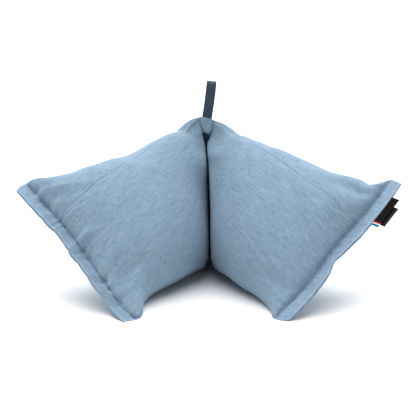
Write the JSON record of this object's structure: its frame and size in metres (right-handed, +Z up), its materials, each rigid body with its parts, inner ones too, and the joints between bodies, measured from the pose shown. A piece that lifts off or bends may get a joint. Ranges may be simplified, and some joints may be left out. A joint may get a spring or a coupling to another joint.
{
  "type": "cervical pillow",
  "caption": "Cloth neck pillow: a filled tube sewn flat across its middle and at both flanged ends, standing open like a V, with a tape loop at the fold.",
  "frame": {"origin": "middle of the whole thing's box, on the surface that it stands on", "axes": "+Z up, the V between the halves opens towards -Y, and the right half runs towards +X"},
  "size_m": [0.526, 0.2652, 0.2756],
  "materials": {
    "cover_cloth": "light blue slub linen and cotton cloth, matt",
    "loop_tape": "dark blue-grey herringbone tape",
    "label_ribbon": "black woven ribbon with a striped end",
    "care_ribbon": "black satin ribbon"
  },
  "bodies": {
    "root": {"pillow_body": "cover_cloth", "hang_loop": "loop_tape", "side_label": "label_ribbon", "care_label": "care_ribbon"}
  },
  "joints": []
}
